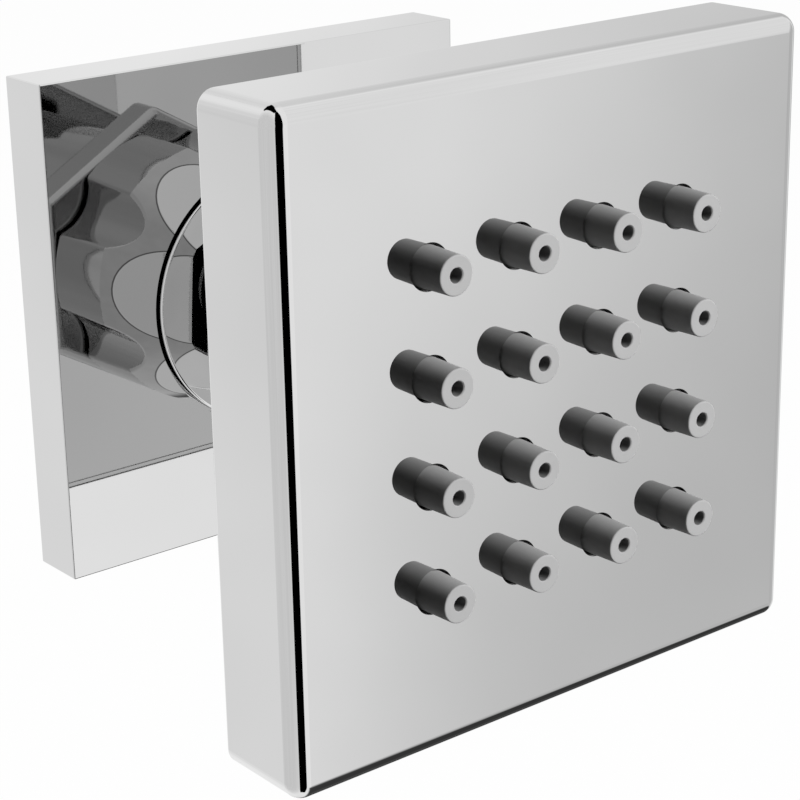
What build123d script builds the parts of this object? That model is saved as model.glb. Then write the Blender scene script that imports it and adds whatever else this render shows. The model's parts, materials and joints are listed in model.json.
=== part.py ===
from build123d import *
import os
from math import atan, cos, degrees, radians, sin, sqrt, tan

# Square shower body jet on a ball joint, with the wall plate that covers its inlet.
# Millimetres. The wall is the plane Y = 0, the spray leaves along -Y and +Z is up.
# In the names below, "out" is a distance from the wall along -Y.

# Wall plate and its foam gasket
plate_size = 54.5
plate_depth = 6.8
plate_edge = 0.15
gasket_depth = 1.5
gasket_margin = 2.2

# Inlet connector with its G1/2 thread
flange_diameter = 29.1
flange_depth = 2.0
flange_stand = 0.6
flange_edge = 0.3
thread_diameter = 20.955
thread_length = 13.0
thread_lead = 1.2
relief_diameter = 18.6
rear_bore_diameter = 13.2
rear_bore_depth = 6.4
connector_key = 7.0

# Strainer and flow restrictor in the rear bore
filter_depth = 1.2
filter_hole = 1.1
filter_ring_step = 2.3
restrictor_hole = 1.8
restrictor_hole_circle = 7.2
restrictor_recess = 9.4
restrictor_recess_depth = 1.2

# Ball stem
ball_diameter = 18.0
stem_diameter = 8.4
stem_fillet = 0.3
water_bore = 4.6
ball_key = 5.0
ball_key_depth = 5.0
shank_diameter = 10.0
shank_length = 7.0
collar_diameter = 13.8
collar_depth = 0.6
stem_seal_section = 1.6

# Ball joint rings, spread over these angles from the ball's equator
slip_ring_wall = 1.35
slip_ring_near_angle = 10.0
slip_ring_far_angle = 30.0
seat_near_angle = 12.0
seat_far_angle = 40.0
seat_wall = 1.55
ball_seal_angle = 52.0
ball_seal_section = 2.0

# Clamp nut
nut_stand = 2.5
nut_length = 17.8
nut_mouth_diameter = 15.0
nut_mouth_wall = 2.1
nut_lip = 0.3
nut_wall = 1.7
nut_shoulder = 8.5
nut_bulge = 0.3
nut_flare = 0.3
nut_rim_edge = 0.5
facet_angle = 36.0
facet_edge = 0.2
ridge_trim = 0.3
lobe_count = 6
lobe_turn = 4.0
groove_radius = 5.1
groove_depth = 1.9
groove_edge = 0.6

# Swivel hub
hub_wall = 1.15
socket_start = 1.2
hex_gap = 0.5
hex_depth = 5.2
hex_corner = 1.2
hex_edge = 1.0
boss_diameter = 25.0
hub_bore = 9.0
tail_diameter = 18.0
hub_seal_section = 1.5
hub_seal_diameter = 21.2

# Head
head_size = 66.0
head_corner = 1.9
head_edge = 1.8
head_back_edge = 0.4
neck_length = 36.8
side_wall = 0.8
front_wall = 1.5
cover_depth = 2.0
washer_depth = 0.8
washer_diameter = 26.0
locknut_depth = 2.4
locknut_flats = 24.0
water_gap = 1.4
spray_plate_depth = 1.6
spray_hole = 2.6
spray_hole_mouth = 4.0
locating_rib = 1.0
chamber_wall = 2.0
chamber_seal_depth = 1.1
chamber_inset = 0.5

# Cover screws
screw_inset = 5.0
screw_boss_diameter = 5.2
screw_diameter = 2.5
screw_head_diameter = 4.8
screw_head_depth = 1.2
screw_slot = 0.6
screw_slot_depth = 0.5
screw_length = 8.0

# Nozzle mat
nozzle_rows = 4
nozzle_pitch = 10.65
nozzle_stand = 3.8
nozzle_root_diameter = 4.1
nozzle_tip_diameter = 3.84
nozzle_edge = 0.15
nozzle_bore = 2.3
orifice_diameter = 1.4
orifice_depth = 1.4
orifice_lip = 0.12
mat_depth = 1.5

# Clearances
fit_gap = 0.1
seat_gap = 0.05
running_gap = 0.05
thread_gap = 0.08
nozzle_hole_gap = 0.25
boss_gap = 0.4
flange_gap = 0.35

# Where the pieces lie, worked out from the sizes above
flange_back = plate_depth + flange_stand - flange_depth
flange_front = plate_depth + flange_stand
collar_front = flange_front + collar_depth
rear_bore_floor = thread_length - rear_bore_depth
shank_end = flange_front - shank_length

ball_radius = ball_diameter / 2
ring_bore_radius = ball_radius + running_gap
slip_ring_radius = ring_bore_radius + slip_ring_wall
cavity_radius = slip_ring_radius + running_gap
mouth_radius = nut_mouth_diameter / 2
nut_end = plate_depth + nut_stand
nut_rim = nut_end + nut_length
mouth_top = nut_end + nut_lip
ball_out = mouth_top + sqrt(cavity_radius ** 2 - mouth_radius ** 2)

seat_radius = ring_bore_radius + seat_wall
socket_bore_radius = seat_radius + seat_gap
socket_radius = socket_bore_radius + hub_wall
nut_bore_radius = socket_radius + thread_gap
groove_floor_radius = nut_bore_radius + nut_wall
nut_radius = groove_floor_radius + groove_depth
shoulder_radius = nut_radius - nut_flare
shoulder_out = nut_end + nut_shoulder
facet_reach = mouth_radius + nut_mouth_wall
nut_end_radius = facet_reach / cos(radians(180 / lobe_count)) - ridge_trim
facet_outside = 2 * nut_radius
first_groove = 180 / lobe_count - lobe_turn
facet_top = nut_end + (facet_outside - facet_reach) / tan(radians(facet_angle))

socket_mouth = ball_out + socket_start
seat_front = ball_out + ring_bore_radius * sin(radians(seat_far_angle))
seat_shoulder = seat_front + seat_gap
ball_seal_reach = ball_radius + running_gap + ball_seal_section / 2
ball_seal_radius = ball_seal_reach * cos(radians(ball_seal_angle))
ball_seal_out = ball_out + ball_seal_reach * sin(radians(ball_seal_angle))
gland_radius = ball_seal_radius + ball_seal_section / 2 + fit_gap
gland_floor = ball_seal_out + ball_seal_section / 2 + seat_gap
hex_face = nut_rim + hex_gap
hex_back = hex_face + hex_depth
hex_reach = nut_radius

head_back = plate_depth + neck_length
cover_front = head_back + cover_depth
washer_front = cover_front + washer_depth
tail_end = washer_front + locknut_depth
spray_back = tail_end + water_gap
mat_back = spray_back + spray_plate_depth
mat_front = mat_back + mat_depth
head_front = mat_front + front_wall
head_depth = head_front - head_back
nozzle_tip = head_front + nozzle_stand

cavity_size = head_size - 2 * side_wall
cavity_corner = head_corner - side_wall
cover_size = cavity_size - 2 * fit_gap
screw_spacing = head_size - 2 * screw_inset
mat_size = screw_spacing - screw_boss_diameter - 2 * boss_gap
chamber_size = mat_size - 2 * chamber_inset
gasket_size = plate_size - 2 * gasket_margin
plate_hole_radius = thread_diameter / 2 + fit_gap
rib_bore = mat_size + 2 * fit_gap
nozzle_hole_diameter = nozzle_root_diameter + 2 * nozzle_hole_gap
nozzle_length = nozzle_tip - mat_front
nozzle_draft = degrees(atan((nozzle_root_diameter - nozzle_tip_diameter) / 2 / nozzle_length))
spray_hole_taper = degrees(atan((spray_hole_mouth - spray_hole) / 2 / spray_plate_depth))
stem_seal_radius = shank_diameter / 2 + stem_seal_section / 2 + fit_gap

# Turned pieces are drawn in this section: local X is the radius, local Y the distance from the wall
section = Plane(origin=(0, 0, 0), x_dir=(1, 0, 0), z_dir=(0, 0, -1))


def facing(out):
    """Plane parallel to the wall, looking away from it."""
    return Plane.XZ.offset(out)


os.makedirs("parts", exist_ok=True)


with BuildPart() as wall_plate:
    with BuildSketch(facing(0)):
        Rectangle(plate_size, plate_size)
    extrude(amount=plate_depth)
    fillet(wall_plate.edges(), plate_edge)
    with BuildSketch(facing(0)):
        Rectangle(gasket_size, gasket_size)
    extrude(amount=gasket_depth, mode=Mode.SUBTRACT)
    with BuildSketch(facing(0)):
        Circle(plate_hole_radius)
    extrude(amount=plate_depth, mode=Mode.SUBTRACT)
    with BuildSketch(facing(flange_back)):
        Circle(flange_diameter / 2 + flange_gap)
    extrude(amount=flange_depth, mode=Mode.SUBTRACT)
wall_plate.part.label = "wall_plate"
export_step(wall_plate.part, "parts/wall_plate.step")


with BuildPart() as wall_gasket:
    with BuildSketch(facing(0)):
        Rectangle(gasket_size - 2 * fit_gap, gasket_size - 2 * fit_gap)
        Circle(plate_hole_radius, mode=Mode.SUBTRACT)
    extrude(amount=gasket_depth)
wall_gasket.part.label = "wall_gasket"
export_step(wall_gasket.part, "parts/wall_gasket.step")


# The connector's flange clamps the plate, and its thread screws into the pipe elbow in the wall
with BuildPart() as inlet_connector:
    with BuildSketch(section):
        with BuildLine():
            Polyline(
                (0, flange_front),
                (flange_diameter / 2, flange_front),
                (flange_diameter / 2, flange_back),
                (relief_diameter / 2, flange_back),
                (relief_diameter / 2, 0),
                (thread_diameter / 2, 0),
                (thread_diameter / 2, thread_lead - thread_length),
                (thread_diameter / 2 - thread_lead, -thread_length),
                (0, -thread_length),
                close=True,
            )
        make_face()
    revolve(axis=Axis.Y)
    flange_rim = inlet_connector.edges().filter_by(GeomType.CIRCLE).group_by(Axis.Y)[0]
    fillet(flange_rim, flange_edge)
    with BuildSketch(facing(shank_end)):
        Circle(shank_diameter / 2 + thread_gap)
    extrude(amount=shank_length, mode=Mode.SUBTRACT)
    with BuildSketch(facing(flange_front - stem_seal_section - seat_gap)):
        Circle(stem_seal_radius + stem_seal_section / 2 + fit_gap)
    extrude(amount=stem_seal_section + seat_gap, mode=Mode.SUBTRACT)
    with BuildSketch(facing(-thread_length)):
        RegularPolygon(connector_key / 2, 6, major_radius=False)
    extrude(amount=thread_length + shank_end, mode=Mode.SUBTRACT)
    with BuildSketch(facing(-thread_length)):
        Circle(rear_bore_diameter / 2)
    extrude(amount=rear_bore_depth, mode=Mode.SUBTRACT)
inlet_connector.part.label = "inlet_connector"
export_step(inlet_connector.part, "parts/inlet_connector.step")


with BuildPart() as inlet_filter:
    with BuildSketch(facing(-thread_length)):
        Circle(rear_bore_diameter / 2 - seat_gap)
        Circle(filter_hole / 2, mode=Mode.SUBTRACT)
        with PolarLocations(filter_ring_step, 6):
            Circle(filter_hole / 2, mode=Mode.SUBTRACT)
        with PolarLocations(2 * filter_ring_step, 12):
            Circle(filter_hole / 2, mode=Mode.SUBTRACT)
    extrude(amount=filter_depth)
inlet_filter.part.label = "inlet_filter"
export_step(inlet_filter.part, "parts/inlet_filter.step")


with BuildPart() as flow_restrictor:
    with BuildSketch(facing(filter_depth - thread_length)):
        Circle(rear_bore_diameter / 2 - seat_gap)
        with PolarLocations(restrictor_hole_circle / 2, 6):
            Circle(restrictor_hole / 2, mode=Mode.SUBTRACT)
    extrude(amount=rear_bore_depth - filter_depth)
    with BuildSketch(facing(-rear_bore_floor)):
        Circle(restrictor_recess / 2)
    extrude(amount=-restrictor_recess_depth, mode=Mode.SUBTRACT)
flow_restrictor.part.label = "flow_restrictor"
export_step(flow_restrictor.part, "parts/flow_restrictor.step")


with BuildPart() as stem_o_ring:
    with BuildSketch(section):
        with Locations((stem_seal_radius, flange_front - (stem_seal_section + seat_gap) / 2)):
            Circle(stem_seal_section / 2)
    revolve(axis=Axis.Y)
stem_o_ring.part.label = "stem_o_ring"
export_step(stem_o_ring.part, "parts/stem_o_ring.step")


# The stem screws into the connector, and its ball is bored through for the water
with BuildPart() as ball_stem:
    with BuildSketch(section):
        with BuildLine():
            Polyline(
                (0, shank_end),
                (shank_diameter / 2, shank_end),
                (shank_diameter / 2, flange_front),
                (collar_diameter / 2, flange_front),
                (collar_diameter / 2, collar_front),
                (stem_diameter / 2, collar_front),
                (stem_diameter / 2, ball_out),
                (0, ball_out),
                close=True,
            )
        make_face()
    revolve(axis=Axis.Y)
    with Locations((0, -ball_out, 0)):
        Sphere(ball_radius)
    stem_rings = ball_stem.edges().filter_by(GeomType.CIRCLE).group_by(SortBy.RADIUS)[0]
    fillet(stem_rings, stem_fillet)
    with BuildSketch(facing(shank_end)):
        Circle(water_bore / 2)
    extrude(amount=ball_out + ball_radius - shank_end, mode=Mode.SUBTRACT)
    with BuildSketch(facing(ball_out + ball_radius)):
        RegularPolygon(ball_key / 2, 6, major_radius=False)
    extrude(amount=-ball_key_depth, mode=Mode.SUBTRACT)
ball_stem.part.label = "ball_stem"
export_step(ball_stem.part, "parts/ball_stem.step")


# Low-friction ring between the ball and the nut, round inside and out about the ball's centre
with BuildPart() as slip_ring:
    slip_ring_spread = slip_ring_far_angle - slip_ring_near_angle
    with BuildSketch(section):
        with BuildLine():
            bearing = CenterArc((0, ball_out), ring_bore_radius, -slip_ring_far_angle, slip_ring_spread)
            outside = CenterArc((0, ball_out), slip_ring_radius, -slip_ring_far_angle, slip_ring_spread)
            Line(bearing @ 0, outside @ 0)
            Line(bearing @ 1, outside @ 1)
        make_face()
    revolve(axis=Axis.Y)
slip_ring.part.label = "slip_ring"
export_step(slip_ring.part, "parts/slip_ring.step")


with BuildPart() as ball_seat:
    seat_spread = seat_far_angle - seat_near_angle
    with BuildSketch(section):
        with BuildLine():
            bearing = CenterArc((0, ball_out), ring_bore_radius, seat_near_angle, seat_spread)
            Polyline(
                bearing @ 0,
                (seat_radius, ball_out + ring_bore_radius * sin(radians(seat_near_angle))),
                (seat_radius, seat_front),
                bearing @ 1,
            )
        make_face()
    revolve(axis=Axis.Y)
ball_seat.part.label = "ball_seat"
export_step(ball_seat.part, "parts/ball_seat.step")


with BuildPart() as ball_o_ring:
    with BuildSketch(section):
        with Locations((ball_seal_radius, ball_seal_out)):
            Circle(ball_seal_section / 2)
    revolve(axis=Axis.Y)
ball_o_ring.part.label = "ball_o_ring"
export_step(ball_o_ring.part, "parts/ball_o_ring.step")


# Hexagonal hub: the ball's socket on one side, the tail that holds the head on the other
with BuildPart() as swivel_hub:
    with BuildSketch(facing(hex_face)):
        RegularPolygon(hex_reach, 6, major_radius=False, rotation=30)
    extrude(amount=hex_depth)
    fillet(swivel_hub.edges().filter_by(Axis.Y), hex_corner)
    fillet(swivel_hub.faces().filter_by(Axis.Y).edges(), hex_edge)
    with BuildSketch(section):
        with BuildLine():
            Polyline(
                (0, socket_mouth),
                (socket_radius, socket_mouth),
                (socket_radius, hex_back - hex_depth / 2),
                (boss_diameter / 2, hex_back - hex_depth / 2),
                (boss_diameter / 2, head_back),
                (tail_diameter / 2, head_back),
                (tail_diameter / 2, tail_end),
                (0, tail_end),
                close=True,
            )
        make_face()
    revolve(axis=Axis.Y)
    with BuildSketch(section):
        with BuildLine():
            Polyline(
                (0, socket_mouth),
                (socket_bore_radius, socket_mouth),
                (socket_bore_radius, seat_shoulder),
                (gland_radius, seat_shoulder),
                (gland_radius, gland_floor),
                (hub_bore / 2, gland_floor),
                (hub_bore / 2, tail_end),
                (0, tail_end),
                close=True,
            )
        make_face()
    revolve(axis=Axis.Y, mode=Mode.SUBTRACT)
    with BuildSketch(facing(head_back)):
        Circle(hub_seal_diameter / 2 + hub_seal_section / 2 + fit_gap)
        Circle(hub_seal_diameter / 2 - hub_seal_section / 2 - fit_gap, mode=Mode.SUBTRACT)
    extrude(amount=-hub_seal_section - seat_gap, mode=Mode.SUBTRACT)
swivel_hub.part.label = "swivel_hub"
export_step(swivel_hub.part, "parts/swivel_hub.step")


# Lobed nut: a body with finger grooves from the rim, and a taper with a flat on each lobe towards the wall
with BuildPart() as clamp_nut:
    with BuildSketch(section):
        with BuildLine():
            SagittaArc((nut_end_radius, nut_end), (shoulder_radius, shoulder_out), -nut_bulge)
            Polyline(
                (shoulder_radius, shoulder_out),
                (nut_radius, nut_rim),
                (0, nut_rim),
                (0, nut_end),
                (nut_end_radius, nut_end),
            )
        make_face()
    revolve(axis=Axis.Y)
    with BuildSketch(facing(nut_rim)):
        with PolarLocations(groove_floor_radius + groove_radius, lobe_count, start_angle=first_groove):
            Circle(groove_radius)
    extrude(amount=-nut_length, mode=Mode.SUBTRACT)
    grooves = clamp_nut.faces().filter_by(GeomType.CYLINDER)
    fillet(grooves.edges().filter_by(GeomType.BSPLINE), groove_edge)
    fillet(clamp_nut.faces().sort_by(Axis.Y)[0].edges(), nut_rim_edge)
    for lobe in range(lobe_count):
        with BuildSketch(section.rotated((0, lobe * 360 / lobe_count + lobe_turn, 0))):
            with BuildLine():
                Polyline(
                    (facet_reach, nut_end),
                    (facet_outside, nut_end),
                    (facet_outside, facet_top),
                    close=True,
                )
            make_face()
        extrude(amount=facet_outside, both=True, mode=Mode.SUBTRACT)
    facets = clamp_nut.faces().filter_by(GeomType.PLANE).filter_by(Axis.Y, reverse=True)
    fillet(facets.edges().filter_by(GeomType.BSPLINE), facet_edge)
    with BuildSketch(section):
        with BuildLine():
            CenterArc((0, ball_out), cavity_radius, 0, -90)
            Line((cavity_radius, ball_out), (0, ball_out))
            Line((0, ball_out), (0, ball_out - cavity_radius))
        make_face()
    revolve(axis=Axis.Y, mode=Mode.SUBTRACT)
    with BuildSketch(facing(nut_end)):
        Circle(mouth_radius)
    extrude(amount=nut_length, mode=Mode.SUBTRACT)
    with BuildSketch(facing(ball_out)):
        Circle(cavity_radius)
    extrude(amount=nut_rim - ball_out, mode=Mode.SUBTRACT)
    with BuildSketch(facing(socket_mouth - hex_gap)):
        Circle(nut_bore_radius)
    extrude(amount=nut_rim - socket_mouth + hex_gap, mode=Mode.SUBTRACT)
clamp_nut.part.label = "clamp_nut"
export_step(clamp_nut.part, "parts/clamp_nut.step")


with BuildPart() as hub_o_ring:
    with BuildSketch(section):
        with Locations((hub_seal_diameter / 2, head_back - (hub_seal_section + seat_gap) / 2)):
            Circle(hub_seal_section / 2)
    revolve(axis=Axis.Y)
hub_o_ring.part.label = "hub_o_ring"
export_step(hub_o_ring.part, "parts/hub_o_ring.step")


with BuildPart() as hub_washer:
    with BuildSketch(facing(cover_front)):
        Circle(washer_diameter / 2)
        Circle(tail_diameter / 2 + fit_gap, mode=Mode.SUBTRACT)
    extrude(amount=washer_depth)
hub_washer.part.label = "hub_washer"
export_step(hub_washer.part, "parts/hub_washer.step")


with BuildPart() as hub_locknut:
    with BuildSketch(facing(washer_front)):
        RegularPolygon(locknut_flats / 2, 6, major_radius=False, rotation=30)
        Circle(tail_diameter / 2 + thread_gap, mode=Mode.SUBTRACT)
    extrude(amount=locknut_depth)
hub_locknut.part.label = "hub_locknut"
export_step(hub_locknut.part, "parts/hub_locknut.step")


# The cover closes the head from behind, and its square wall surrounds the water chamber
with BuildPart() as back_cover:
    with BuildSketch(facing(head_back)):
        RectangleRounded(cover_size, cover_size, cavity_corner)
        Circle(tail_diameter / 2 + fit_gap, mode=Mode.SUBTRACT)
    extrude(amount=cover_depth)
    with BuildSketch(facing(cover_front)):
        Rectangle(chamber_size, chamber_size)
        Rectangle(chamber_size - 2 * chamber_wall, chamber_size - 2 * chamber_wall, mode=Mode.SUBTRACT)
    extrude(amount=spray_back - chamber_seal_depth - cover_front)
    with BuildSketch(facing(head_back)):
        with GridLocations(screw_spacing, screw_spacing, 2, 2):
            Circle(screw_diameter / 2 + fit_gap)
    extrude(amount=cover_depth, mode=Mode.SUBTRACT)
    with BuildSketch(facing(head_back)):
        with GridLocations(screw_spacing, screw_spacing, 2, 2):
            Circle(screw_head_diameter / 2 + fit_gap)
    extrude(amount=screw_head_depth, mode=Mode.SUBTRACT)
back_cover.part.label = "back_cover"
export_step(back_cover.part, "parts/back_cover.step")


with BuildPart() as cover_screws:
    with BuildSketch(facing(head_back)):
        with GridLocations(screw_spacing, screw_spacing, 2, 2):
            Circle(screw_head_diameter / 2)
    extrude(amount=screw_head_depth)
    with BuildSketch(facing(head_back + screw_head_depth)):
        with GridLocations(screw_spacing, screw_spacing, 2, 2):
            Circle(screw_diameter / 2)
    extrude(amount=screw_length - screw_head_depth)
    with BuildSketch(facing(head_back)):
        with GridLocations(screw_spacing, screw_spacing, 2, 2):
            Rectangle(screw_head_diameter, screw_slot)
    extrude(amount=screw_slot_depth, mode=Mode.SUBTRACT)
cover_screws.part.label = "cover_screws"
export_step(cover_screws.part, "parts/cover_screws.step")


with BuildPart() as chamber_seal:
    with BuildSketch(facing(spray_back - chamber_seal_depth)):
        Rectangle(chamber_size, chamber_size)
        Rectangle(chamber_size - 2 * chamber_wall, chamber_size - 2 * chamber_wall, mode=Mode.SUBTRACT)
    extrude(amount=chamber_seal_depth)
chamber_seal.part.label = "chamber_seal"
export_step(chamber_seal.part, "parts/chamber_seal.step")


with BuildPart() as spray_plate:
    with BuildSketch(facing(spray_back)):
        Rectangle(mat_size, mat_size)
    extrude(amount=spray_plate_depth)
    with BuildSketch(facing(spray_back)):
        with GridLocations(nozzle_pitch, nozzle_pitch, nozzle_rows, nozzle_rows):
            Circle(spray_hole_mouth / 2)
    extrude(amount=spray_plate_depth, taper=spray_hole_taper, mode=Mode.SUBTRACT)
spray_plate.part.label = "spray_plate"
export_step(spray_plate.part, "parts/spray_plate.step")


# One moulding: a flexible sheet with a nozzle at each hole of the shell
with BuildPart() as nozzle_mat:
    with BuildSketch(facing(mat_back)):
        Rectangle(mat_size, mat_size)
    extrude(amount=mat_depth)
    with BuildSketch(facing(mat_front)):
        with GridLocations(nozzle_pitch, nozzle_pitch, nozzle_rows, nozzle_rows):
            Circle(nozzle_root_diameter / 2)
    extrude(amount=nozzle_length, taper=nozzle_draft)
    tip_rims = nozzle_mat.edges().filter_by(GeomType.CIRCLE).group_by(Axis.Y)[0]
    fillet(tip_rims, nozzle_edge)
    with BuildSketch(facing(nozzle_tip)):
        with GridLocations(nozzle_pitch, nozzle_pitch, nozzle_rows, nozzle_rows):
            Circle(orifice_diameter / 2)
    extrude(amount=-(nozzle_tip - mat_back), mode=Mode.SUBTRACT)
    tip_edges = nozzle_mat.edges().filter_by(GeomType.CIRCLE).group_by(Axis.Y)[0]
    chamfer(tip_edges.group_by(SortBy.RADIUS)[0], orifice_lip)
    with BuildSketch(facing(mat_back)):
        with GridLocations(nozzle_pitch, nozzle_pitch, nozzle_rows, nozzle_rows):
            Circle(nozzle_bore / 2)
    extrude(amount=nozzle_tip - orifice_depth - mat_back, mode=Mode.SUBTRACT)
nozzle_mat.part.label = "nozzle_mat"
export_step(nozzle_mat.part, "parts/nozzle_mat.step")


with BuildPart() as head_shell:
    with BuildSketch(facing(head_back)):
        RectangleRounded(head_size, head_size, head_corner)
    extrude(amount=head_depth)
    fillet(head_shell.faces().sort_by(Axis.Y)[0].edges(), head_edge)
    fillet(head_shell.faces().sort_by(Axis.Y)[-1].edges(), head_back_edge)
    with BuildSketch(facing(head_back)):
        RectangleRounded(cavity_size, cavity_size, cavity_corner)
    extrude(amount=head_depth - front_wall, mode=Mode.SUBTRACT)
    with BuildSketch(facing(spray_back)):
        Rectangle(rib_bore + 2 * locating_rib, rib_bore + 2 * locating_rib)
        Rectangle(rib_bore, rib_bore, mode=Mode.SUBTRACT)
    extrude(amount=mat_front - spray_back)
    with BuildSketch(facing(cover_front)):
        with GridLocations(screw_spacing, screw_spacing, 2, 2):
            Circle(screw_boss_diameter / 2)
    extrude(amount=mat_front - cover_front)
    with BuildSketch(facing(cover_front)):
        with GridLocations(screw_spacing, screw_spacing, 2, 2):
            Circle(screw_diameter / 2 + seat_gap)
    extrude(amount=screw_length - cover_depth + fit_gap, mode=Mode.SUBTRACT)
    with BuildSketch(facing(mat_front)):
        with GridLocations(nozzle_pitch, nozzle_pitch, nozzle_rows, nozzle_rows):
            Circle(nozzle_hole_diameter / 2)
    extrude(amount=front_wall, mode=Mode.SUBTRACT)
head_shell.part.label = "head_shell"
export_step(head_shell.part, "parts/head_shell.step")
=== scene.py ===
import json
from math import cos, pi, radians, sin, tan

import bpy
from mathutils import Matrix, Vector


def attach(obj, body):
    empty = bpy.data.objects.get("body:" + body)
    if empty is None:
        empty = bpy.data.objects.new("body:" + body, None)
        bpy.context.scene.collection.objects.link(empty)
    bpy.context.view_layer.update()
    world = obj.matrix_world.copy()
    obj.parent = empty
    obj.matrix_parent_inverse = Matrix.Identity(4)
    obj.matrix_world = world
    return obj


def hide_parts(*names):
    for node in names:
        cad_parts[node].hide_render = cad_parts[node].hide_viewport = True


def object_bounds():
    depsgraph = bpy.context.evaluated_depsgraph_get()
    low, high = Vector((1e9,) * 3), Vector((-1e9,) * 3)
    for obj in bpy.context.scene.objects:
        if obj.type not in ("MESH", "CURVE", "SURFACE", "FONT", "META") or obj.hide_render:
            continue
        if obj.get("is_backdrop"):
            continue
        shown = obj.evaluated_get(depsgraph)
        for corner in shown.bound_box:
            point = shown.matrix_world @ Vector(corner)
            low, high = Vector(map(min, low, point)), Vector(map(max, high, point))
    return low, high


# Looks of a square shower body jet: bright chrome plate and head, a darker neck, grey rubber nozzles.
# Metres, in the frame of the solids: the wall is Y = 0, the spray leaves along -Y and +Z is up.

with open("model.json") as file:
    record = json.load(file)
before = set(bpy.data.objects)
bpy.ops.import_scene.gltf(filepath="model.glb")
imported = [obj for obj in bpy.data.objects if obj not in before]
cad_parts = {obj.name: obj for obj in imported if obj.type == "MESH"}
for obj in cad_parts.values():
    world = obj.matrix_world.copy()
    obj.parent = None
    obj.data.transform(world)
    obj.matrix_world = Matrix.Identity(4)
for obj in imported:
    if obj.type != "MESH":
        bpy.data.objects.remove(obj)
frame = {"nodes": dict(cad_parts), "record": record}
cad_low, cad_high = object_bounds()
MM = 0.001

# Camera, found from the photograph's edges
CAMERA_PLACE = (-0.142449, -0.208538, 0.072651)
CAMERA_RIGHT = (0.77707, -0.62912, -0.01939)
CAMERA_DOWN = (-0.22115, -0.24406, -0.94421)
CAMERA_FORWARD = (0.58928, 0.73800, -0.32878)
CAMERA_LENS_MM = 103.07
CAMERA_SENSOR_MM = 36.0
CAMERA_NEAR = 0.01
CAMERA_FAR = 20.0

# Studio: lamps, the little light that matt surfaces get beside them, and the floor
KEY_PLACE = (0.34, -0.88, 0.45)
KEY_TARGET = (0, -0.05, 0)
KEY_SIZE = 0.4
KEY_WATTS = 11.3
BACK_PLACE = (-0.5, 0.8, 0.5)
BACK_TARGET = (0, 0, 0)
BACK_SIZE = 0.5
BACK_WATTS = 6.0
AMBIENT = 0.007
FLOOR_HEIGHT = -0.16
FLOOR_SIZE = 8.0
FLOOR_SEEN_LEVEL = 0.95
FLOOR_BOUNCE_LEVEL = 0.2
FLOOR_GLOW_SHARE = 0.98

# Room that the chrome reflects: its level, and what each shade takes from it
ROOM_LEVEL = 1.28
ROOM_LEAST = 0.1
LEFT_SHADE = 0.33
RIGHT_SHADE = 0.1
FAR_RIGHT_SHADE = 0.44
BACK_SHADE = 0.15
BACK_HIGH_SHADE = 0.07
BACK_FAR_SHADE = 0.35
HORIZON_SHADE = 0.2
CLOUD_SHADE = 0.2
LOW_SHADE_SHARE = 0.93

# Inlet connector with its G1/2 thread, in millimetres as in the solids
FLANGE_RADIUS = 14.55
FLANGE_FRONT = 7.4
FLANGE_BACK = 5.4
FLANGE_EDGE = 0.3
RELIEF_RADIUS = 9.3
THREAD_RADIUS = 10.4775
THREAD_LENGTH = 13.0
THREAD_PITCH = 1.814
THREAD_DEPTH = 1.162
THREAD_LEAD = 1.2
REAR_BORE_RADIUS = 6.6
REAR_BORE_DEPTH = 6.4
KEY_REACH = 3.5
SHANK_RADIUS = 5.08
SHANK_END = 0.4
SEAL_RADIUS = 6.8
SEAL_FLOOR = 5.75
TURN_STEPS = 144
THREAD_STEPS = 12
EDGE_STEPS = 4
SHARP_ANGLE = 35.0

# Flats of the clamp nut, in millimetres and degrees as in the solids
FLAT_REACH = 9.6
FLAT_START = 9.3
FLAT_ANGLE = 36.0
LOBE_COUNT = 6
LOBE_TURN = 4.0

# Nozzles, in millimetres as in the solids
NOZZLE_PITCH = 10.65
ORIFICE_RADIUS = 0.7

# Greys of the finishes, of the painted shade in the nozzles' orifices and of the painted dark reflection
# along the nut's flats
CHROME_LEVEL = 0.575
DARK_CHROME_LEVEL = 0.32
FLAT_LEVEL = 0.5
# Painted dark reflection along the edges of the nut's flats
FLAT_EDGE_REFLECTION_LEVEL = 0.1
HAZE_TINT = 0.01
NOZZLE_LEVEL = 0.5
# Share of the nozzle grey left on the orifice walls: painted shade of the deep bores
ORIFICE_SHADE_SHARE = 0.45
SEAL_LEVEL = 0.04


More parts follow.
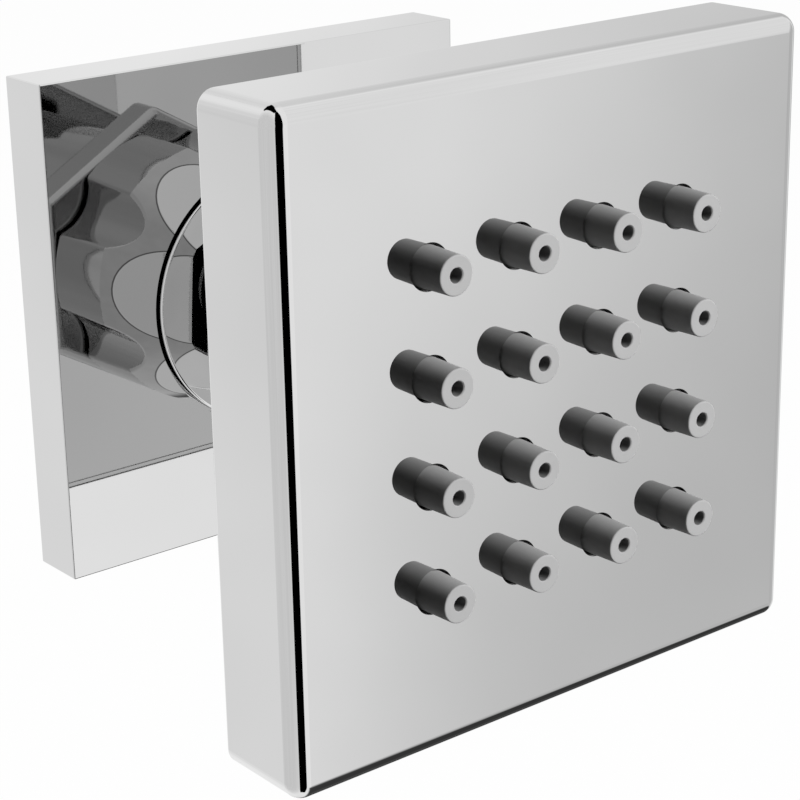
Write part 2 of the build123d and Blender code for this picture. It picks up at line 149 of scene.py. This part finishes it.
class Socket:
    """An output of a node. Arithmetic on it adds Math nodes to its tree."""

    def __init__(self, nodes, output):
        self.nodes = nodes
        self.output = output

    def out(self, name):
        """Another output of the same node."""
        return Socket(self.nodes, self.output.node.outputs[name])

    def math(self, operation, *operands):
        return self.nodes.add("ShaderNodeMath", {"operation": operation}, dict(enumerate(operands)))

    def __add__(self, other):
        return self.math("ADD", self, other)

    def __radd__(self, other):
        return self.math("ADD", other, self)

    def __sub__(self, other):
        return self.math("SUBTRACT", self, other)

    def __rsub__(self, other):
        return self.math("SUBTRACT", other, self)

    def __mul__(self, other):
        return self.math("MULTIPLY", self, other)

    def __rmul__(self, other):
        return self.math("MULTIPLY", other, self)

    def __truediv__(self, other):
        return self.math("DIVIDE", self, other)

    def __rtruediv__(self, other):
        return self.math("DIVIDE", other, self)

    def __neg__(self):
        return self.math("MULTIPLY", self, -1.0)

    def __abs__(self):
        return self.math("ABSOLUTE", self)

    def __round__(self):
        return self.math("ROUND", self)

    def root(self):
        return self.math("SQRT", self)

    def cosine(self):
        return self.math("COSINE", self)

    def turn_from(self, other):
        """Angle in radians of a point that lies this far up and the other far across."""
        return self.math("ARCTAN2", self, other)

    def at_least(self, other):
        return self.math("MAXIMUM", self, other)

    def at_most(self, other):
        return self.math("MINIMUM", self, other)

    def step(self, start, end):
        """0 at start, 1 at end and smooth between, with start above or below end."""
        settings = {"interpolation_type": "SMOOTHSTEP"}
        if start < end:
            limits = {"From Min": start, "From Max": end, "To Min": 0.0, "To Max": 1.0}
        else:
            limits = {"From Min": end, "From Max": start, "To Min": 1.0, "To Max": 0.0}
        return self.nodes.add("ShaderNodeMapRange", settings, {"Value": self, **limits})


class Nodes:
    """The node tree of a material or of the world."""

    def __init__(self, owner):
        self.owner = owner
        owner.use_nodes = True
        self.tree = owner.node_tree
        self.tree.nodes.clear()

    def add(self, kind, settings=None, inputs=None):
        """Adds a node: its settings first, then a value or a link for each named socket."""
        node = self.tree.nodes.new(kind)
        for name, value in (settings or {}).items():
            setattr(node, name, value)
        for name, value in (inputs or {}).items():
            if isinstance(value, Socket):
                self.tree.links.new(value.output, node.inputs[name])
            else:
                node.inputs[name].default_value = value
        return Socket(self, node.outputs[0]) if node.outputs else None

    def place(self, stretch=(1.0, 1.0, 1.0)):
        """Where on the piece, in metres, stretched along its axes."""
        inside = self.add("ShaderNodeTexCoord").out("Object")
        return self.add("ShaderNodeVectorMath", {"operation": "MULTIPLY"}, {0: inside, 1: stretch})

    def axes(self, vector):
        """The X, Y and Z of a vector."""
        split = self.add("ShaderNodeSeparateXYZ", None, {"Vector": vector})
        return [split.out(axis) for axis in "XYZ"]

    def place_mm(self):
        """Where on the piece, as X, Y and Z in millimetres."""
        return self.axes(self.place((1 / MM, 1 / MM, 1 / MM)))

    def noise(self, place, scale, detail=2.0):
        return self.add("ShaderNodeTexNoise", None, {"Vector": place, "Scale": scale, "Detail": detail})

    def mix(self, factor, first, second):
        """A colour between two."""
        inputs = {"Factor": factor, "A": first, "B": second}
        return self.add("ShaderNodeMix", {"data_type": "RGBA"}, inputs).out("Result")

    def bump(self, height, strength, distance_mm):
        inputs = {"Height": height, "Strength": strength, "Distance": distance_mm * MM}
        return self.add("ShaderNodeBump", None, inputs)

    def surface(self, inputs):
        """Ends the tree of a material with its shader, and gives the material."""
        shader = self.add("ShaderNodeBsdfPrincipled", None, inputs)
        self.add("ShaderNodeOutputMaterial", None, {"Surface": shader})
        return self.owner


def grey(level):
    return (level, level, level, 1.0)


def off_flats(nodes):
    """How far in millimetres a spot on the clamp nut lies off the plane of its lobe's flat."""
    x, y, z = nodes.place_mm()
    sector = 2 * pi / LOBE_COUNT
    turn = z.turn_from(x) + radians(LOBE_TURN)
    off_lobe = turn - round(turn / sector) * sector
    reach = (x * x + z * z).root() * off_lobe.cosine()
    plane = FLAT_REACH - (y + FLAT_START) * tan(radians(FLAT_ANGLE))
    return abs(reach - plane)


def plating(name, level, smoothest, haziest, with_flats=False):
    """Polished plating with a faint haze left by wiping. The nut's flats are bright, with a painted dark
    reflection along their edges.
    """
    nodes = Nodes(bpy.data.materials.new(name))
    haze = nodes.noise(nodes.place(), scale=45.0, detail=3.0)
    tint = nodes.mix(haze, grey(level - HAZE_TINT), grey(level + HAZE_TINT))
    if with_flats:
        off = off_flats(nodes)
        # Painted dark reflection on a thin band along each flat's edge
        tint = nodes.mix(off.step(0.12, 0.09), tint, grey(FLAT_EDGE_REFLECTION_LEVEL))
        tint = nodes.mix(off.step(0.05, 0.03), tint, grey(FLAT_LEVEL))
    roughness = haze * (haziest - smoothest) + smoothest
    return nodes.surface({"Base Color": tint, "Metallic": 1.0, "Roughness": roughness})


def steel():
    """Stainless steel with fine drawn lines."""
    nodes = Nodes(bpy.data.materials.new("plain_steel"))
    lines = nodes.noise(nodes.place((30.0, 1.0, 1.0)), scale=400.0, detail=3.0)
    tint = nodes.mix(lines, grey(0.54), grey(0.66))
    return nodes.surface({"Base Color": tint, "Metallic": 1.0, "Roughness": lines * 0.2 + 0.18})


def brass():
    """Turned brass, unplated, with tool marks round the axis."""
    nodes = Nodes(bpy.data.materials.new("turned_brass"))
    place = nodes.place()
    settings = {"wave_type": "RINGS", "rings_direction": "Y"}
    marks = nodes.add("ShaderNodeTexWave", settings, {"Vector": place, "Scale": 900.0, "Distortion": 0.5})
    stain = nodes.noise(place, scale=120.0, detail=3.0)
    tint = nodes.mix(stain, (0.68, 0.52, 0.25, 1.0), (0.76, 0.60, 0.31, 1.0))
    bump = nodes.bump(marks, strength=0.2, distance_mm=0.01)
    roughness = stain * 0.15 + 0.2
    return nodes.surface({"Base Color": tint, "Metallic": 1.0, "Roughness": roughness, "Normal": bump})


def in_orifices(nodes):
    """1 on the walls of the nozzles' orifices, where shade is painted, 0 on the rest of the mat."""
    x, _, z = nodes.place_mm()
    column, row = (along / NOZZLE_PITCH - 0.5 for along in (x, z))
    across, up = (line - round(line) for line in (column, row))
    reach = (across * across + up * up).root() * NOZZLE_PITCH
    return reach.step(ORIFICE_RADIUS + 0.06, ORIFICE_RADIUS + 0.02)


def rubber(name, level, with_orifice_shade=False):
    """Moulded silicone or rubber: matt, with a fine grain, and with painted shade inside the nozzles'
    orifices.
    """
    nodes = Nodes(bpy.data.materials.new(name))
    place = nodes.place()
    grain = nodes.noise(place, scale=5000.0)
    cloud = nodes.noise(place, scale=300.0)
    tint = nodes.mix(cloud, grey(level * 0.95), grey(level * 1.05))
    if with_orifice_shade:
        # Painted shade on the orifice walls, darker than the mat around them
        tint = nodes.mix(in_orifices(nodes), tint, grey(level * ORIFICE_SHADE_SHARE))
    inputs = {"Base Color": tint, "Roughness": grain * 0.15 + 0.5, "Specular IOR Level": 0.12}
    inputs["Normal"] = nodes.bump(grain, strength=0.1, distance_mm=0.03)
    return nodes.surface(inputs)


def foam():
    """Closed-cell foam: dark, with small pores."""
    nodes = Nodes(bpy.data.materials.new("gasket_foam"))
    cells = nodes.add("ShaderNodeTexVoronoi", None, {"Vector": nodes.place(), "Scale": 2200.0})
    pore = cells.step(0.45, 0.1)
    inputs = {"Base Color": nodes.mix(pore, grey(0.13), grey(0.05)), "Roughness": 0.9}
    inputs["Specular IOR Level"] = 0.1
    inputs["Normal"] = nodes.bump(1.0 - pore, strength=0.6, distance_mm=0.1)
    return nodes.surface(inputs)


def plastic(name, colour, smoothest):
    """Moulded plastic with a faint flow pattern."""
    nodes = Nodes(bpy.data.materials.new(name))
    flow = nodes.noise(nodes.place((1.0, 0.3, 1.0)), scale=250.0, detail=3.0)
    darker = tuple(part * 0.92 for part in colour[:3]) + (1.0,)
    inputs = {"Base Color": nodes.mix(flow, darker, colour), "Roughness": flow * 0.1 + smoothest}
    inputs["Normal"] = nodes.bump(flow, strength=0.1, distance_mm=0.02)
    return nodes.surface(inputs)


BRIGHT_CHROME = plating("bright_chrome", CHROME_LEVEL, smoothest=0.012, haziest=0.028)
DARK_CHROME = {"level": DARK_CHROME_LEVEL, "smoothest": 0.03, "haziest": 0.06}
LOOK_OF_SLOT = {
    "chrome_plate": BRIGHT_CHROME,
    "chrome_neck": BRIGHT_CHROME,
    "chrome_head": BRIGHT_CHROME,
    "dark_chrome": plating("dark_chrome", **DARK_CHROME),
    "bare_brass": brass(),
    "steel": steel(),
    "nozzle_rubber": rubber("nozzle_rubber", NOZZLE_LEVEL, with_orifice_shade=True),
    "seal_rubber": rubber("seal_rubber", SEAL_LEVEL),
    "gasket_foam": foam(),
    "slip_plastic": plastic("slip_plastic", (0.88, 0.88, 0.86, 1.0), smoothest=0.35),
    "moulded_plastic": plastic("moulded_plastic", (0.35, 0.36, 0.37, 1.0), smoothest=0.4),
}
NUT_LOOK = plating("dark_chrome_with_flats", **DARK_CHROME, with_flats=True)


def dress_solids():
    for piece in frame["record"]["subparts"]:
        mesh = frame["nodes"][piece["node"]].data
        mesh.materials.clear()
        is_nut = piece["node"] == "clamp_nut"
        mesh.materials.append(NUT_LOOK if is_nut else LOOK_OF_SLOT[piece["material_slot"]])


def key_radius(turn):
    """Radius of the hexagonal key hole at an angle."""
    sixth = pi / 3
    return KEY_REACH / cos(turn % sixth - sixth / 2)


def thread_radius(out, turn):
    """Radius of the round-crested pipe thread, cut back where it starts and ends."""
    phase = (out / THREAD_PITCH + turn / (2 * pi)) % 1.0
    crest = THREAD_RADIUS - THREAD_DEPTH * (0.5 + 0.5 * cos(2 * pi * phase))
    from_end = out + THREAD_LENGTH
    lead = THREAD_RADIUS - max(THREAD_LEAD - from_end, 0.0)
    return max(min(crest, lead), RELIEF_RADIUS - THREAD_LEAD)


def connector_rows():
    """Rows of the connector on a lathe: a distance from the wall, and a radius or a rule for it."""
    rows = [(SHANK_END, KEY_REACH), (SHANK_END, SHANK_RADIUS), (SEAL_FLOOR, SHANK_RADIUS)]
    rows += [(SEAL_FLOOR, SEAL_RADIUS), (FLANGE_FRONT, SEAL_RADIUS)]
    for step in range(EDGE_STEPS + 1):
        bend = radians(90 * step / EDGE_STEPS)
        reach = FLANGE_RADIUS - FLANGE_EDGE * (1 - sin(bend))
        rows.append((FLANGE_FRONT - FLANGE_EDGE * (1 - cos(bend)), reach))
    rows += [(FLANGE_BACK, FLANGE_RADIUS), (FLANGE_BACK, RELIEF_RADIUS), (0.0, RELIEF_RADIUS)]
    count = round(THREAD_LENGTH / THREAD_PITCH * THREAD_STEPS)
    rows += [(-THREAD_LENGTH * step / count, thread_radius) for step in range(count + 1)]
    rows += [(-THREAD_LENGTH, REAR_BORE_RADIUS), (REAR_BORE_DEPTH - THREAD_LENGTH, REAR_BORE_RADIUS)]
    rows += [(REAR_BORE_DEPTH - THREAD_LENGTH, key_radius), (SHANK_END, key_radius)]
    return rows


def add_connector():
    """Inlet connector with a cut thread, in place of the plain cylinder of the solid."""
    points = []
    rows = connector_rows()
    for out, radius in rows:
        for step in range(TURN_STEPS):
            turn = 2 * pi * step / TURN_STEPS
            if radius is thread_radius:
                reach = thread_radius(out, turn)
            elif radius is key_radius:
                reach = key_radius(turn)
            else:
                reach = radius
            points.append((reach * cos(turn) * MM, -out * MM, reach * sin(turn) * MM))
    faces = []
    for row in range(len(rows)):
        after = (row + 1) % len(rows)
        for step in range(TURN_STEPS):
            beside = (step + 1) % TURN_STEPS
            corners = ((row, step), (row, beside), (after, beside), (after, step))
            faces.append(tuple(line * TURN_STEPS + spot for line, spot in corners))
    mesh = bpy.data.meshes.new("threaded_connector")
    mesh.from_pydata(points, [], faces)
    mesh.shade_smooth()
    mesh.set_sharp_from_angle(angle=radians(SHARP_ANGLE))
    mesh.materials.append(LOOK_OF_SLOT["chrome_neck"])
    connector = bpy.data.objects.new("threaded_connector", mesh)
    bpy.context.scene.collection.objects.link(connector)
    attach(connector, "wall_mount")
    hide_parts("inlet_connector")


def add_camera():
    camera = bpy.data.cameras.new("photo_camera")
    camera.lens = CAMERA_LENS_MM
    camera.sensor_width = CAMERA_SENSOR_MM
    camera.clip_start = CAMERA_NEAR
    camera.clip_end = CAMERA_FAR
    seat = bpy.data.objects.new("photo_camera", camera)
    bpy.context.scene.collection.objects.link(seat)
    right, down, forward = (Vector(v) for v in (CAMERA_RIGHT, CAMERA_DOWN, CAMERA_FORWARD))
    axes = Matrix((right, -down, -forward)).transposed().to_4x4()
    seat.matrix_world = Matrix.Translation(CAMERA_PLACE) @ axes
    bpy.context.scene.camera = seat


def soft_room(x, y, z, cloud):
    """Level of the white room in a direction: greyer to the sides and behind, dark low on the right."""
    in_front = y.step(0.1, -0.1)
    back_right = y.step(0.0, 0.3) * x.step(-0.2, 0.2)
    left = x.step(-0.2, -0.75) * LEFT_SHADE
    right = x.step(0.48, 0.6) * RIGHT_SHADE + (x - z * 0.5).step(0.7, 0.9) * FAR_RIGHT_SHADE
    back = x.step(0.5, 0.8) * BACK_FAR_SHADE + z.step(0.0, 0.15) * BACK_HIGH_SHADE + BACK_SHADE
    horizon = z.step(-0.3, -0.22) * z.step(0.08, 0.0) * HORIZON_SHADE
    level = ROOM_LEVEL - left - right * in_front - (back + horizon) * back_right
    low_right = z.step(-0.58, -0.66) * x.step(0.25, 0.4)
    return (level + cloud).at_least(ROOM_LEAST) * (1.0 - low_right * LOW_SHADE_SHARE)


def dark_panel(x, y, z):
    """1 towards a tall dark panel in front, by the bearing and the height of a direction."""
    bearing = x / (-y).at_least(0.001)
    across = bearing.step(-0.75, -0.74) * bearing.step(0.13, 0.12)
    return across * z.step(-0.9, -0.88) * z.step(0.985, 0.97)


def dark_strip(x, y, z):
    """1 towards a dark strip overhead."""
    across = x.step(-0.28, -0.25) * (x - y * 0.35).step(0.08, 0.05)
    return across * y.step(-0.25, -0.2) * z.step(0.66, 0.68)


def room_light(nodes):
    """How bright the room is in each direction. Only the first reflection sees its panel and its strip."""
    direction = nodes.add("ShaderNodeTexCoord").out("Generated")
    x, y, z = nodes.axes(direction)
    cloud = (nodes.noise(direction, scale=9.0) - 0.5) * CLOUD_SHADE
    dark = dark_panel(x, y, z).at_least(dark_strip(x, y, z))
    first_bounce = nodes.add("ShaderNodeLightPath").out("Glossy Depth").step(2.0, 1.0)
    return soft_room(x, y, z, cloud) * (1.0 - dark * first_bounce)


def light_studio():
    """White to the camera. Metal sees the room, and matt surfaces only a little of it beside the lamps."""
    world = bpy.data.worlds.new("studio")
    bpy.context.scene.world = world
    nodes = Nodes(world)
    rays = nodes.add("ShaderNodeLightPath")
    to_camera = rays.out("Is Camera Ray").at_least(rays.out("Is Transmission Ray"))
    from_matt = rays.out("Diffuse Depth").at_most(1.0)
    to_metal = rays.out("Is Glossy Ray") * (1.0 - from_matt)
    hidden = (1.0 - to_camera - to_metal).at_least(0.0)
    level = to_camera + to_metal * room_light(nodes) + hidden * AMBIENT
    light = nodes.add("ShaderNodeBackground", None, {"Color": grey(1.0), "Strength": level})
    nodes.add("ShaderNodeOutputWorld", None, {"Surface": light})


def add_lamp(name, place, target, size, watts):
    lamp = bpy.data.lights.new(name, "AREA")
    lamp.size = size
    lamp.energy = watts
    seat = bpy.data.objects.new(name, lamp)
    bpy.context.scene.collection.objects.link(seat)
    seat.location = place
    seat.rotation_mode = "QUATERNION"
    seat.rotation_quaternion = (Vector(target) - Vector(place)).to_track_quat("-Z", "Y")
    seat.visible_glossy = False


def add_floor():
    """Floor that is white to the camera and grey to the part."""
    half = FLOOR_SIZE / 2
    mesh = bpy.data.meshes.new("floor")
    corners = [(-half, -half), (half, -half), (half, half), (-half, half)]
    mesh.from_pydata([(x, y, FLOOR_HEIGHT) for x, y in corners], [], [(0, 1, 2, 3)])
    floor = bpy.data.objects.new("floor", mesh)
    bpy.context.scene.collection.objects.link(floor)
    floor.visible_glossy = False
    paint = bpy.data.materials.new("floor_paint")
    nodes = Nodes(paint)
    seen = nodes.add("ShaderNodeLightPath").out("Is Camera Ray")
    colour = nodes.mix(seen, grey(FLOOR_BOUNCE_LEVEL), grey(FLOOR_SEEN_LEVEL))
    shade = nodes.add("ShaderNodeBsdfDiffuse", None, {"Color": colour})
    glow = nodes.add("ShaderNodeEmission", None, {"Color": grey(1.0), "Strength": 1.0})
    cover = nodes.add("ShaderNodeMixShader", None, {0: seen * FLOOR_GLOW_SHARE, 1: shade, 2: glow})
    nodes.add("ShaderNodeOutputMaterial", None, {"Surface": cover})
    mesh.materials.append(paint)
    floor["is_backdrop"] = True


dress_solids()
add_connector()
add_camera()
light_studio()
add_lamp("key", KEY_PLACE, KEY_TARGET, KEY_SIZE, KEY_WATTS)
add_lamp("back", BACK_PLACE, BACK_TARGET, BACK_SIZE, BACK_WATTS)
add_floor()

bpy.context.scene.view_settings.view_transform = "Standard"

low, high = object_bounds()
{"cad": [list(cad_low), list(cad_high)], "visual": [list(low), list(high)]}
